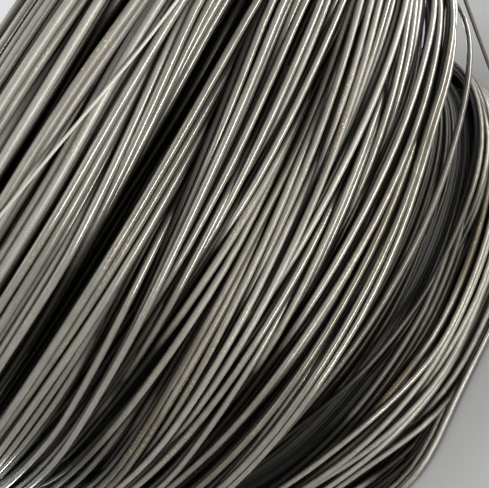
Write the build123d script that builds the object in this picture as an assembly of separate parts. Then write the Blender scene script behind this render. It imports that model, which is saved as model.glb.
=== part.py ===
"""Coil of phosphate coated steel wire, lying on its end, with its four tie wires and a thin loose wire.

The coil is one length of round wire, wound in loose bands round an open bore. It is modelled as one
turned solid. Each turn of the outermost layer is a round crest across both ends, round the shoulders
and round the edges of the bore. The outer wall has its bands of turns, which lean, bulge and lie back
from each other, with the deep valleys between them. Four tie wires go round the section. Each is drawn
tight over the proudest band, lies in a seat that it has pressed into the bore's wall, and has its two
ends twisted together outside. The coil lies on its tie wires. A thin wire lies slantwise across the upper
turns and runs in under one of the tie wires.

Millimetres. +Z is the coil's axis, and z = 0 is the floor.
"""
import os
from math import acos, atan2, ceil, cos, hypot, pi, radians, sin, tan

from build123d import *

# The wire and the coil
wire_diameter = 4.0
bore_radius = 254.0
end_turns = 17            # turns side by side across the flat of the upper end
inner_corner = 10.0       # rounding of the section beside the bore
shoulder = 24.0           # rounding of the section at the outer edge of the upper end
foot_shoulder = 12.0      # and of the lower end
crest_height = 0.7        # how far a turn's crest stands out of the line where two turns meet

# The outer wall from the top down: how many turns high a band is, and how many wire diameters its upper
# and its lower edge stand out from the upper shoulder. A negative figure is a valley, or lies back.
wall_bands = (
    (12, 0.0, 0.0),
    (3, -5.0, -5.0),
    (10, -0.4, -0.4),
    (1, -2.0, -2.0),
    (13, -0.5, -0.3),
    (1, -1.2, -1.2),
    (8, 1.0, 2.8),
    (12, -11.7, -11.4),
    (4, -10.0, -7.5),
    (14, -5.7, -6.0),
)

# The tie wires
tie_count = 4
first_tie_azimuth = 50.0
tie_diameter = 3.0
tie_clearance = 0.3       # between a tie wire and the turns that it lies on
tie_seat_side = 0.6       # room on each side of a tie wire in its seat at the bore
tie_corner = 12.0         # inside rounding of a tie wire at the bore's edges
twist_height = 236.0      # level of the twisted ends on the outer wall
twist_radius = 2.8
twist_length = 32.0
twist_bend = 4.5          # radius at which the twisted ends are bent over along the wall

# The thin wire across the upper turns of the wall, which ends under the fourth tie wire
thin_wire_diameter = 1.3
thin_wire_clearance = 0.15    # between it and the turns that it lies on
thin_wire_start = -114.0      # azimuths of its upper end, of its bend and of its lower end
thin_wire_bend = -80.0
thin_wire_end = -37.0
thin_wire_fall = 27.0         # from its upper end down to its level stretch
thin_wire_level = 297.5
thin_wire_easing = 12.0       # length over which it bends
thin_wire_runs = 11           # straight runs between its rounded corners

turn_radius = wire_diameter / 2
wall_turns = sum(turns for turns, first, last in wall_bands)
coil_bottom = tie_diameter + tie_clearance
coil_top = coil_bottom + foot_shoulder + wall_turns * wire_diameter + shoulder
outer_radius = bore_radius + inner_corner + end_turns * wire_diameter + shoulder
upper_shoulder = (outer_radius - shoulder, coil_top - shoulder)
foot_radius = outer_radius + wall_bands[-1][2] * wire_diameter
lower_shoulder = (foot_radius - foot_shoulder, coil_bottom + foot_shoulder)
tie_seat_depth = tie_diameter + 2 * tie_clearance
tie_stand = tie_clearance + tie_diameter / 2


def straight_turns(start, end, turns):
    """Turns side by side along a straight run of the section, as arcs from foot to foot over the crest."""
    (x, z), (end_x, end_z) = start, end
    length = hypot(end_x - x, end_z - z)
    out_x, out_z = (z - end_z) / length * crest_height, (end_x - x) / length * crest_height
    arcs = []
    for turn in range(turns):
        points = []
        for share, out in ((turn / turns, 0), ((turn + 0.5) / turns, 1), ((turn + 1) / turns, 0)):
            points.append((x + share * (end_x - x) + out * out_x, z + share * (end_z - z) + out * out_z))
        arcs.append(ThreePointArc(*points))
    return arcs


def round_turns(centre, radius, start, end):
    """Turns side by side round a corner of the section, from one angle down to another."""
    turns = ceil((start - end) * radius / wire_diameter)
    arcs = []
    for turn in range(turns):
        points = []
        for share, reach in ((turn, radius - crest_height), (turn + 0.5, radius), (turn + 1, radius - crest_height)):
            angle = start + (end - start) * share / turns
            points.append((centre[0] + reach * cos(angle), centre[1] + reach * sin(angle)))
        arcs.append(ThreePointArc(*points))
    return arcs


def wall_lines():
    """Each band of the outer wall from the top down, from its upper edge to its lower one."""
    lines = []
    level = coil_top - shoulder
    for turns, first, last in wall_bands:
        next_level = level - turns * wire_diameter
        lines.append(((outer_radius + first * wire_diameter, level),
                      (outer_radius + last * wire_diameter, next_level)))
        level = next_level
    return lines


def proudest_turn():
    """Centre of the round turn at the lower edge of the band that stands out furthest."""
    (x, z), (edge_x, edge_z) = max(wall_lines(), key=lambda line: line[1])
    lean = (edge_x - x) / (z - edge_z)
    return edge_x - turn_radius * (hypot(1, lean) + lean), edge_z + turn_radius


def coil_section():
    """The section, with a round crest for each outermost turn and a plain wall at the bore."""
    upper_corner = (bore_radius + inner_corner, coil_top - inner_corner)
    lower_corner = (bore_radius + inner_corner, coil_bottom + inner_corner)
    top_level, bottom_level = coil_top - crest_height, coil_bottom + crest_height
    top_line = (upper_corner[0], top_level), (upper_shoulder[0], top_level)
    bottom_line = (lower_shoulder[0], bottom_level), (lower_corner[0], bottom_level)
    bottom_turns = round((bottom_line[0][0] - bottom_line[1][0]) / wire_diameter)
    outline = round_turns(upper_corner, inner_corner, pi, pi / 2)
    outline += straight_turns(*top_line, end_turns)
    outline += round_turns(upper_shoulder, shoulder, pi / 2, 0)
    outline += [Line(*line) for line in wall_lines()]
    outline += round_turns(lower_shoulder, foot_shoulder, 0, -pi / 2)
    outline += straight_turns(*bottom_line, bottom_turns)
    outline += round_turns(lower_corner, inner_corner, -pi / 2, -pi)
    # The bore's wall closes the section, and a step joins two bands that don't meet
    wall = Line((bore_radius, lower_corner[1]), (bore_radius, upper_corner[1]))
    edges = [wall]
    for arc in outline + [wall]:
        step = arc @ 0 - edges[-1] @ 1
        if step.length > wire_diameter / 100:
            edges.append(Line(edges[-1] @ 1, arc @ 0))
        edges.append(arc)
    section = make_face(edges[:-1])
    return fillet(section.vertices().sort_by(Axis.X)[-1], turn_radius)


def taut_line(stand):
    """The closed line drawn tight round the section, a given way outside the turns that it touches."""
    seat = bore_radius + tie_seat_depth + tie_corner
    # The rounds that it bends over, as centre and radius, from the foot of the bore up and outwards
    rounds = [
        ((seat, coil_bottom + tie_corner), tie_corner),
        ((seat, coil_top - tie_corner), tie_corner),
        (upper_shoulder, shoulder),
        (proudest_turn(), turn_radius),
        (lower_shoulder, foot_shoulder),
    ]
    # Each straight stretch, as the angle that it faces and its reach from the origin that way
    straights = []
    for ((x, z), radius), ((next_x, next_z), next_radius) in zip(rounds, rounds[1:] + rounds[:1]):
        across, up = next_x - x, next_z - z
        facing = atan2(up, across) + acos((radius - next_radius) / hypot(across, up))
        straights.append((facing, x * cos(facing) + z * sin(facing) + radius + stand))
    corners = []
    for (a, reach), (b, next_reach) in zip(straights[-1:] + straights[:-1], straights):
        across = (reach * sin(b) - next_reach * sin(a)) / sin(b - a)
        up = (next_reach * cos(a) - reach * cos(b)) / sin(b - a)
        corners.append((across, up))
    return FilletPolyline(*corners, radius=[radius + stand for centre, radius in rounds], close=True)


def tie_seat():
    """What a tie wire has pressed out of the bore's wall and edges, at azimuth 0."""
    reach = bore_radius + tie_seat_depth + tie_corner
    height = coil_top + tie_diameter
    pressed = Rectangle(reach, height, align=(Align.MIN, Align.MIN)) - make_face(taut_line(0))
    return extrude(Plane.XZ * pressed, tie_diameter / 2 + tie_seat_side, both=True)


def tie_azimuths():
    return [first_tie_azimuth + 360 / tie_count * tie for tie in range(tie_count)]


def wire_coil():
    coil = revolve(Plane.XZ * coil_section(), Axis.Z)
    seat = tie_seat()
    return coil - [Rot(0, 0, azimuth) * seat for azimuth in tie_azimuths()]


def tie_wire():
    """One tie wire at azimuth 0: the loop round the section, and its two ends twisted together."""
    line = taut_line(tie_stand)
    start = Plane(line @ 0, z_dir=line % 0)
    loop = Plane.XZ * sweep(start * Circle(tie_diameter / 2), path=line)
    crossing = max(point.X for point in line.intersect(Axis((0, twist_height), (1, 0))).vertices())
    bent_at = crossing + tie_diameter / 2 + twist_bend
    ends = FilletPolyline(
        (crossing, 0, twist_height), (bent_at, 0, twist_height),
        (bent_at, twist_length, twist_height), radius=twist_bend)
    twist = sweep(Plane(ends @ 0, z_dir=ends % 0) * Circle(twist_radius), path=ends)
    return loop + twist


def thin_wire():
    """The thin wire, lying slantwise down across the turns as far as its bend, and then level."""
    radius = outer_radius + thin_wire_clearance + thin_wire_diameter / 2
    slope = thin_wire_fall / (radius * radians(thin_wire_bend - thin_wire_start))
    step = (thin_wire_end - thin_wire_start) / thin_wire_runs
    corner_radius = radius / cos(radians(step / 2))
    # Each run touches the wire's round line at its middle
    corners = [(radius, thin_wire_start)]
    corners += [(corner_radius, thin_wire_start + (run + 0.5) * step) for run in range(thin_wire_runs)]
    corners += [(radius, thin_wire_end)]
    points = []
    for reach, azimuth in corners:
        before_bend = radius * radians(thin_wire_bend - azimuth)
        rise = slope * (before_bend + hypot(before_bend, thin_wire_easing)) / 2
        points.append(Vector(reach * cos(radians(azimuth)), reach * sin(radians(azimuth)), thin_wire_level + rise))
    # The arcs are as large as the runs beside them allow
    arcs = []
    for before, corner, after in zip(points, points[1:], points[2:]):
        run, next_run = corner - before, after - corner
        half_turn = radians(run.get_angle(next_run)) / 2
        arcs.append(0.45 * min(run.length, next_run.length) / tan(half_turn))
    line = FilletPolyline(*points, radius=arcs)
    return sweep(Plane(line @ 0, z_dir=line % 0) * Circle(thin_wire_diameter / 2), path=line)


os.makedirs("parts", exist_ok=True)
export_step(wire_coil(), "parts/wire_coil.step")
export_step(thin_wire(), "parts/thin_wire.step")
tie = tie_wire()
for number, azimuth in enumerate(tie_azimuths(), start=1):
    export_step(Rot(0, 0, azimuth) * tie, f"parts/tie_wire_{number}.step")
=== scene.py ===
import math

import bmesh
import bpy
import numpy as np
from mathutils import Matrix, Vector


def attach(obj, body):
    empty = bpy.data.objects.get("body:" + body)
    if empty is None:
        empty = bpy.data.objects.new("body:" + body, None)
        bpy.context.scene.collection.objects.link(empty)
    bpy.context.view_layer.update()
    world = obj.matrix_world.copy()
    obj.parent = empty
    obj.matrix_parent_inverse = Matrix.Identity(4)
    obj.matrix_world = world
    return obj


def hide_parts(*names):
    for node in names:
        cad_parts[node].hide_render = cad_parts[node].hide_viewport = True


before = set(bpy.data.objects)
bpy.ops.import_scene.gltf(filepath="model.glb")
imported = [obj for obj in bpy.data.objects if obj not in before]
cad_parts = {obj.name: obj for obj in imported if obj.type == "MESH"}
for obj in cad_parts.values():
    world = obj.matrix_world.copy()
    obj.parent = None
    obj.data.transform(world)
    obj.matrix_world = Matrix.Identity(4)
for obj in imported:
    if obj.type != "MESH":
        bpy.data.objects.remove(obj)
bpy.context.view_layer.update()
dice = np.random.default_rng(11)

# Lengths are in metres, except in the tables and dictionaries of the turns, which count wire diameters.
# Angles are in degrees. The angle round the coil is 0 on the side that faces the camera (-Y) and grows
# towards +X.
coil = dict(
    wire=0.004,          # diameter of the wire
    boreRadius=0.254,
    wallRadius=0.356,    # crest of the outermost turns under the upper shoulder
    bottom=0.0033,
    top=0.3513,
    shoulder=0.024,      # rounding at the outer edge of both ends
    eyeLevel=0.2813,     # height above the floor from which the levels of the wall are counted
    stations=144,        # steps round the coil
    sides=8,             # corners of a wire's section
)
wire = coil["wire"]
stations = coil["stations"]
angles = np.arange(stations) * 360 / stations - 180


# Levels and radii in the turn tables count wire diameters, so these change between the two
def levelOf(height):
    return (height - coil["eyeLevel"]) / wire


def heightOf(level):
    return coil["eyeLevel"] + level * wire


# The turns of the outer wall from the top down, as the camera sees them: (angle, level), or
# (angle, level, out) where a turn dives behind its neighbours or comes forward. Each row starts with how far
# out the turn lies, in wire diameters from the wall. The levels are read on the wall's own face.
wallTurns = (
    (0.0, (5, 12.3), (8, 12.2)),
    (-0.7, (4, 11.55), (8, 11.3)),
    (-0.8, (4, 10.55), (8, 10.8)),
    (0.0, (3, 9.85), (5, 10.0), (9, 10.3)),
    (-0.9, (4, 9.35), (9, 9.75)),
    (-0.3, (5, 8.65, -1.3), (7, 8.8, -0.6), (9.5, 8.95)),
    (-0.9, (5, 8.5), (9.5, 8.7)),
    (0.1, (1.5, 7.87), (4, 7.8), (7, 7.65), (10, 7.42)),
    (-0.1, (0, 7.25), (2, 7.2), (5, 7.1), (10, 6.85)),
    (-0.35, (0, 6.55), (3, 6.55), (6, 6.65), (10, 6.7)),
    (-0.25, (-1, 5.3), (2, 5.6), (5, 5.8), (8, 6.0), (11, 6.15)),
    (-0.1, (-2, 4.55), (0, 4.85), (3, 5.15), (5, 5.3), (8, 5.45), (11, 5.7)),
    (-0.2, (-3, 4.0), (0, 4.3), (3, 4.5), (5, 4.6), (8, 4.65), (12, 4.95)),
    (-1.0, (0, 3.9), (6, 4.3), (9, 4.3)),
    # The fan above the widest gap, whose upper four run in under the others
    (0.1, (-5, 2.88), (0, 3.25), (5, 3.55), (8, 3.72), (12, 3.85), (16, 3.9)),
    (0.05, (-6, 1.9), (0, 2.4), (5, 2.9), (8, 3.2, -0.6), (12, 3.5, -0.9)),
    (0.05, (-6.5, 1.15), (0, 1.8), (3, 2.2), (6, 2.6, -0.7), (10, 3.1, -1.2)),
    (0.0, (-7.5, 0.4), (-5, 0.62), (-2.5, 1.1), (0, 1.5, -0.7), (4, 2.0, -1.3)),
    (-0.3, (2, 1.75, -1.2), (5.5, 2.35), (9, 3.0), (12.5, 3.7)),
    (-0.2, (1, 1.2, -1.2), (5, 2.0), (9, 2.75), (12.5, 3.45)),
    (0.1, (-8, -0.5), (-5, -0.05), (0, 0.75), (3, 1.3), (5, 1.75), (8, 2.4), (12.5, 3.2)),
    (0.1, (-6, -1.0), (-3, -0.6), (0, -0.15), (2, 0.2), (5, 0.85), (8, 1.4), (11, 2.1), (13, 2.75)),
    (0.1, (-5, -1.3), (-2, -0.9), (0, -0.6), (3, -0.2), (6, 0.27), (9, 0.75), (12, 1.25), (14, 1.55)),
    (0.0, (-1, -1.0), (5, -0.1), (9, 0.4), (12, 0.65), (14.5, 0.85)),
    (-0.7, (-2, -1.15), (0, -1.05), (4, -0.75), (9, -0.3), (14.5, 0.15)),
    (-2.6, (-5, -1.9, -4.6), (5, -2.1, -4.2), (9, -1.9, -3.2), (12, -1.5), (15, -1.1)),
    # Under the widest gap
    (0.1, (-12, -4.1), (-5, -3.95), (0, -3.72), (5, -3.4), (10, -3.12), (16, -2.85)),
    (0.05, (-13, -5.0), (-7, -4.92), (0, -4.62), (5, -4.35), (9, -4.15), (12, -4.0, -1.0)),
    (0.05, (-14.5, -6.15), (-10, -6.2), (-5, -5.95), (0, -5.6), (4, -5.25), (8, -4.9, -1.0)),
    (-0.1, (-18, -7.1), (-14, -6.95), (-10, -6.7), (-6, -6.35), (0, -6.0, -1.1)),
    (-0.2, (-19, -8.2), (-16, -8.05), (-13, -7.55), (-10, -7.1), (-5, -6.6, -1.4)),
    (-0.8, (-20, -9.0), (-15, -8.35), (-10, -7.55), (-5, -6.75), (-1, -6.2), (3, -5.9)),
    (-0.3, (-22, -10.9), (-20, -10.4), (-15, -9.7), (-10, -8.8), (-5, -7.8), (-1, -7.1, -0.9),
     (3, -6.5, -1.5)),
    (-0.9, (-10, -10.0), (-5, -8.8), (0, -7.6), (5, -6.35), (10, -5.2), (13, -4.45), (16.5, -3.5)),
    (0.2, (-22, -12.6, -0.6), (-18, -12.0), (-14, -11.4), (-10, -10.75), (-6, -9.85), (-3, -9.1), (0, -8.4),
     (3, -7.7), (6, -6.95), (9, -6.2), (12, -5.5), (15, -4.75), (17.5, -4.1)),
    (0.15, (-26, -13.4), (-22, -12.9), (-18, -12.3), (-14, -11.7), (-10, -11.1), (-6, -10.3), (0, -9.1),
     (4, -8.3), (8, -7.55), (12, -6.75), (16, -5.9), (18.5, -5.3)),
    (0.05, (-20, -12.7, -1.5), (-10, -11.2, -0.8), (-3, -10.1), (0, -9.5), (4, -8.8), (8, -8.0), (12, -7.25),
     (15, -6.7), (18.5, -5.9)),
    (0.1, (-20, -12.9, -2.2), (-10, -11.3, -0.6), (-4, -10.7), (0, -10.1), (3, -9.65), (6, -9.2), (10, -8.6),
     (14, -7.9), (17, -7.25), (19.5, -6.75)),
    (0.1, (-14, -11.8, -1.8), (-6, -10.9, -0.5), (0, -10.35), (4, -9.85), (8, -9.3), (12, -8.65),
     (16, -7.95), (19.5, -7.35)),
    (0.0, (-18, -11.9, -1.0), (-12, -11.25), (-8, -11.1), (-4, -10.95), (0, -10.5), (5, -9.95), (9, -9.3),
     (13, -8.75), (17, -8.2), (20, -7.8)),
    (-0.4, (-19, -12.55), (-14, -12.35), (-10, -12.2), (-6, -11.85), (-2, -11.5, -1.3)),
    (0.0, (-14, -13.5, -0.4), (-10, -13.2), (-5, -12.6), (0, -11.8), (3, -11.4), (6, -10.9),
     (10, -10.2, -0.5), (13, -9.8, -0.9), (17, -9.4, -1.0)),
    (-0.8, (8, -10.2), (12, -9.75), (16, -9.35), (20, -9.0)),
    (0.1, (-6, -12.7, -0.9), (-2, -12.5), (1, -12.25), (3, -12.0), (6, -11.6), (10, -11.1), (15, -10.45),
     (20, -9.85), (24, -9.3)),
    (0.0, (4, -12.2, -0.8), (8, -12.05), (10, -11.9), (13, -11.6), (16, -11.2), (20, -10.7), (24, -10.2)),
    (-0.9, (15, -11.8), (19, -11.6), (23, -11.2)),
    (-0.3, (-8, -13.3, -0.8), (-4, -13.15), (0, -13.05), (4, -12.95), (8, -12.7), (14, -12.35, -0.8),
     (20, -12.0, -1.0)),
    (0.05, (-5, -13.6, -0.9), (-1, -13.65), (2, -13.7), (5, -13.65), (10, -13.35), (15, -13.0),
     (20, -12.65, -0.5), (23, -12.4, -0.9)),
    (-0.1, (-14, -14.5, -1.2), (-10, -14.65), (-5, -14.75), (0, -14.75), (5, -14.65), (9, -14.4),
     (13, -14.1, -1.2)),
    (0.0, (-26, -16.5, -0.8), (-22, -16.65), (-15, -16.55), (-8, -16.35), (-3, -16.1), (0, -15.85),
     (3, -15.45), (6, -15.0, -1.2)),
    # The slanting turns of the middle
    (-0.9, (-29, -18.3), (-25, -18.0), (-20, -17.55), (-15, -17.2, -1.4)),
    (-0.9, (-26, -19.9), (-20, -18.95), (-15, -18.15), (-10, -17.45), (-7, -17.1, -1.3)),
    (-0.6, (-27, -20.8), (-20, -19.75), (-15, -18.9), (-10, -18.15), (-5, -17.35), (-1, -16.75),
     (3, -16.3, -1.3), (7, -15.9, -1.5)),
    (0.0, (-27, -21.9), (-25, -21.45), (-20, -20.65), (-15, -19.6), (-10, -18.6), (-5, -17.85), (0, -17.05),
     (5, -16.5, -1.0), (10, -15.8, -1.1), (15, -15.05, -1.1), (20, -14.25, -0.9), (24, -13.6, -0.8)),
    (0.05, (-27, -23.0), (-25, -22.6), (-20, -21.7), (-15, -20.6), (-10, -19.65), (-5, -18.85), (-2, -18.25),
     (0, -17.75), (3, -17.1, -0.9), (6, -16.6, -1.3), (10, -16.2, -1.5)),
    (0.0, (-26, -23.7), (-20, -22.75), (-15, -21.95), (-10, -20.9), (-5, -19.85), (0, -18.8), (3, -18.2),
     (5, -17.75), (8, -17.1, -0.7), (12, -16.35, -0.9), (16, -15.7, -0.9), (20, -15.1, -0.8)),
    (0.05, (-15, -22.7, -1.1), (-10, -21.7, -1.0), (-5, -20.8, -0.6), (0, -19.75), (5, -18.85), (8, -18.2),
     (12, -17.4), (16, -16.55), (20, -15.7), (23, -15.1), (26, -14.5)),
    (0.1, (-25, -24.1), (-20, -24.0), (-15, -23.35), (-10, -22.55), (-5, -21.75), (0, -20.75), (5, -19.8),
     (8, -19.2, -0.9), (12, -18.4, -1.1), (16, -17.6, -1.2)),
    (0.0, (-5, -22.4, -1.0), (0, -21.45, -0.6), (5, -20.5, -0.4), (10, -19.45, -0.2), (15, -18.45),
     (20, -17.4), (24, -16.6), (27, -16.0)),
    (0.2, (-23, -24.8, -0.8), (-19, -24.7), (-15, -24.5), (-10, -23.95), (-5, -23.4), (0, -22.6), (5, -21.7),
     (8, -21.1), (10, -20.7), (14, -19.85), (18, -19.1), (22, -18.4), (26, -17.6)),
    (0.1, (9, -21.0, -0.9), (14, -20.2, -0.2), (18, -19.4), (22, -18.75), (25, -18.3), (28, -17.9)),
    (0.1, (8, -21.4, -1.0), (12, -20.75, -0.2), (15, -20.3), (18, -19.85), (21, -19.5), (25, -19.2),
     (28, -18.8)),
    (0.1, (7, -21.6, -1.0), (11, -21.05), (15, -20.7), (18, -20.45), (21, -20.25), (25, -20.0), (29, -19.7)),
    (-0.2, (8, -22.0, -1.0), (13, -21.6), (16, -21.5), (20, -21.35), (25, -21.1), (30, -20.9)),
    (0.1, (-5, -23.3, -0.9), (0, -23.1), (5, -22.95), (10, -22.8), (15, -22.7), (20, -22.5), (25, -22.35),
     (30, -22.2)),
    (0.0, (-25, -26.0), (-20, -26.0), (-15, -25.9), (-10, -25.6), (-5, -25.15), (0, -24.75), (3, -24.45),
     (6, -24.1), (9, -23.7), (12, -23.3, -0.8)),
    (0.15, (-15, -28.1, -0.9), (-10, -27.75), (-5, -27.2), (0, -26.45), (3, -25.95), (6, -25.4), (8, -25.05),
     (11, -24.5), (14, -24.0), (17, -23.5), (20, -23.1), (23, -22.9, -0.8)),
    (0.1, (-8, -27.9, -1.0), (-3, -27.5, -0.4), (0, -27.0), (3, -26.5), (6, -26.0), (9, -25.4), (12, -24.9),
     (15, -24.4), (18, -23.9), (22, -23.3)),
    (0.15, (0, -27.4, -0.9), (4, -27.1), (7, -26.75), (11, -26.2), (14, -25.75), (17, -25.3), (20, -24.8),
     (23, -24.2), (26, -23.6), (29, -23.1)),
    (0.1, (6, -27.4, -0.8), (11, -26.9), (15, -26.55), (19, -26.0), (23, -25.4), (27, -24.7), (31, -24.0)),
    (0.0, (11, -27.2, -0.8), (15, -26.8, -0.3), (19, -26.45), (23, -25.95), (27, -25.4), (31, -24.9)),
    (-0.2, (15, -27.0, -1.0), (19, -26.75), (23, -26.45), (27, -26.15), (31, -25.9)),
    (0.1, (-25, -29.35), (-22, -28.9), (-18, -28.2), (-15, -27.65), (-10, -26.95), (-5, -26.2), (-2, -25.65),
     (1, -25.2, -0.6), (5, -24.7, -1.1), (8, -24.3, -1.2)),
    (-0.2, (-25, -28.4), (-22, -28.0), (-18, -27.5), (-14, -27.1), (-10, -26.7, -0.9)),
    # The proud turns over the recess
    (1.1, (-12, -29.0, -0.8), (-5, -28.95), (0, -28.85), (5, -28.8), (10, -28.75), (15, -28.65), (20, -28.5),
     (25, -28.3)),
    (0.3, (-8, -29.9), (0, -29.8), (5, -29.75), (12, -29.7)),
    (1.5, (-23, -30.4, 0.2), (-18, -30.75), (-14, -30.9), (-8, -30.95), (0, -31.0), (8, -31.0), (14, -30.85),
     (20, -30.6), (25, -30.3)),
    (1.2, (-15, -31.2, 0.8), (-8, -31.45), (-3, -31.45), (2, -31.35), (8, -31.3), (14, -31.2)),
    (0.4, (-16, -32.9), (-10, -32.7), (-5, -32.5), (0, -32.5), (5, -32.4)),
    (1.9, (-22, -34.0), (-18, -34.05), (-14, -34.0), (-10, -33.9), (-5, -33.55), (0, -33.15), (3, -32.9),
     (6, -32.6), (9, -32.25), (12, -31.85), (15, -31.55), (18, -31.3)),
    (1.5, (-20, -33.5), (-12, -33.4), (-6, -33.1), (0, -32.9, 1.0), (5, -32.6, 0.8)),
    (1.9, (0, -33.6, 1.4), (3, -33.35), (7, -33.1), (11, -32.85), (14, -32.5), (17, -32.1)),
    (2.0, (-22, -36.3), (-18, -35.95), (-14, -35.45), (-10, -34.95), (-7, -34.6), (-4, -34.25), (-1, -33.8),
     (2, -33.5, 1.3), (6, -33.3, 1.0)),
    (1.8, (-22, -35.6), (-18, -35.2), (-14, -34.85), (-10, -34.5, 1.4), (-6, -34.1, 1.0)),
    (2.5, (-21, -36.95), (-17, -36.8), (-12, -36.45), (-8, -36.1), (-4, -35.7), (0, -35.3), (3, -35.0),
     (6, -34.6), (10, -34.1), (14, -33.5), (17, -33.0)),
    (2.2, (-10, -37.1, 1.6), (-5, -36.55), (-2, -36.15), (0, -35.85), (3, -35.4), (6, -35.0), (9, -34.5),
     (12, -33.95), (15, -33.3), (18, -32.6)),
    (2.4, (-21, -38.15), (-15, -37.75), (-10, -37.45), (-5, -37.05), (0, -36.7), (3, -36.35), (6, -35.9),
     (9, -35.45), (12, -34.9), (15, -34.3), (18, -33.6)),
    (0.9, (-8, -38.1), (-4, -38.3), (0, -38.5), (5, -38.65), (11, -38.75)),
)

# The turns of the foot, which lies back. Their levels are read on the foot's own face.
footTurns = (
    (-8.6, (-13, -45.0), (-8, -46.8), (-5, -47.7), (0, -48.9), (5, -49.9), (9, -50.6)),
    (-10.0, (-10, -48.5), (-5, -49.0), (0, -49.9), (5, -50.8)),
    (-9.5, (-5, -49.9), (0, -50.8), (5, -51.8)),
    (-9.2, (-6, -50.6), (-3, -51.3), (0, -52.4), (4, -53.4)),
    (-5.6, (-23, -52.7), (-20, -53.2), (-15, -54.0), (-12, -54.8), (-9, -55.6), (-5, -56.9), (-1, -58.0),
     (2, -58.8)),
    (-5.8, (-15, -53.7, -6.6), (-12, -54.1), (-8, -54.7), (-4, -55.2), (0, -55.8), (4, -56.3)),
    (-6.8, (-20, -55.3), (-15, -56.1), (-10, -57.0), (-5, -58.0), (-1, -58.8)),
    (-5.5, (-22, -56.2), (-18, -57.2), (-14, -57.9), (-10, -58.5), (-5, -59.1), (0, -59.6)),
    (-6.6, (-12, -59.2), (-8, -59.8), (-3, -60.5)),
    (-5.4, (-21, -57.0, -6.3), (-18, -58.2), (-15, -59.3), (-12, -60.1), (-8, -61.1), (-4, -61.9),
     (0, -62.6)),
    (-5.5, (-20, -60.0), (-16, -60.8), (-12, -61.5), (-8, -62.1), (-4, -62.7), (0, -63.2)),
    (-6.6, (-12, -62.8), (-8, -63.5), (-5, -64.3), (-1, -65.2)),
    (-5.6, (-17, -62.0, -6.3), (-14, -63.2), (-11, -64.4), (-8, -65.6), (-5, -66.8), (-1, -67.6)),
    (-6.4, (-19, -64.5), (-15, -65.6), (-12, -66.6), (-9, -67.6)),
    (-5.3, (-19, -65.3), (-15, -66.2), (-12, -66.9), (-9, -67.7), (-5, -68.6)),
    (-4.7, (-18, -67.2), (-15, -67.9), (-12, -68.5), (-9, -69.0)),
    (-3.9, (-18, -68.4), (-14, -69.2), (-10, -69.9), (-6, -70.4)),
    (-3.0, (-18, -70.2), (-14, -70.8), (-10, -71.2)),
    (-2.1, (-18, -72.0), (-14, -72.6), (-9, -73.0)),
    (-1.3, (-18, -73.8), (-14, -74.3), (-8, -74.6)),
    (-0.5, (-17, -75.4), (-13, -75.8), (-9, -76.0)),
)
eyeReach = 135         # from the coil's axis to the camera, in wire diameters
wallFace = 89.3        # radii on which the levels above are read, in wire diameters
footFace = 83.5
lowestLevel = levelOf(coil["bottom"]) + 0.5
# Both edges of the widest gap, as (angle, level)
gapUpper = ((-12, -1.8), (-5, -1.35), (0, -1.15), (5, -0.95), (10, -0.65), (15, -0.1), (120, -0.8),
            (240, -1.4))
gapLower = ((-12, -3.55), (-5, -3.6), (0, -3.3), (5, -3.0), (10, -2.65), (16, -2.35), (120, -3.0),
            (240, -3.2))
# How far round to both sides the camera sees the turns at some levels
seenLevels = (-70, -66, -58, -50, -38, -30, -25, -20, -15, -10, -4, 0, 5, 10, 13)
seenFrom = (-17, -18, -21, -24, -21, -24, -26, -29.5, -26.5, -21, -13, -8, -2, 3, 5)
seenTo = (-9, -7, 0, 7, 12, 25, 31.5, 28.5, 25, 21.5, 17, 15, 11.5, 9.5, 8.5)


def smoothed(lines, times):
    for step in range(times):
        lines = (np.roll(lines, 1, -1) + 2 * lines + np.roll(lines, -1, -1)) / 4
    return lines


# A closed smooth line round the coil through values at some angles
def roundLine(knots, values, blur=2):
    return smoothed(np.interp(angles, knots, values, period=360), blur)


# Every turn is kept as its radius and level at each station, both in wire diameters. Hold is how firmly it
# keeps its place when turns are pushed apart, and depth is its layer.
turns = []


def addTurn(part, radius, level, hold=0.05, depth=0.0):
    turns.append(dict(part=part, radius=np.broadcast_to(radius, stations).astype(float),
                      level=np.broadcast_to(level, stations).astype(float), hold=hold, depth=depth))


# A slow random line round the coil
def wander(size, waves=5):
    line = np.zeros(stations)
    for wave in range(1, waves + 1):
        phase = dice.uniform(0, 2 * math.pi)
        line += dice.normal(0, size / wave) * np.cos(np.radians(angles) * wave + phase)
    return line


# Where the line of sight through a turn meets the face on which its level was read: the angle, and the
# share of the way from the camera to the turn
def sightOn(face, radius):
    across = radius * np.sin(np.radians(angles))
    away = eyeReach - radius * np.cos(np.radians(angles))
    span = across ** 2 + away ** 2
    root = np.sqrt(np.maximum((eyeReach * away) ** 2 - span * (eyeReach ** 2 - face ** 2), 0))
    share = (eyeReach * away - root) / span
    return np.degrees(np.arctan2(share * across, eyeReach - share * away)), share


# A turn of the wall lies behind those laid before it, except where they lie deeper by more than the rank.
# As wire is stiff, it dives well before it meets another. It goes back along the line of sight where it is
# seen, so that it stays where it was read.
laying = dict(clear=0.95, stiff=2, rank=0.5)


def layTurn(radius, level, slope=0.0):
    if turns:
        others = np.array([(turn["radius"], turn["level"]) for turn in turns])
        across, down = others[:, 0] - radius, others[:, 1] - level
        scale = np.sqrt(1 + slope ** 2)
        beside = np.abs(across * slope - down) / scale
        ahead = (across + down * slope) / scale
        meets = (beside < laying["clear"]) & (ahead > -laying["rank"])
        back = ahead - np.sqrt(np.maximum(laying["clear"] ** 2 - beside ** 2, 0))
        radius = radius + np.minimum(np.where(meets, back / scale, 0).min(0), 0)
    reach = range(-laying["stiff"], laying["stiff"] + 1)
    radius = np.min([np.roll(radius, k) for k in reach], 0)
    return np.mean([np.roll(radius, k) for k in reach], 0)


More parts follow.
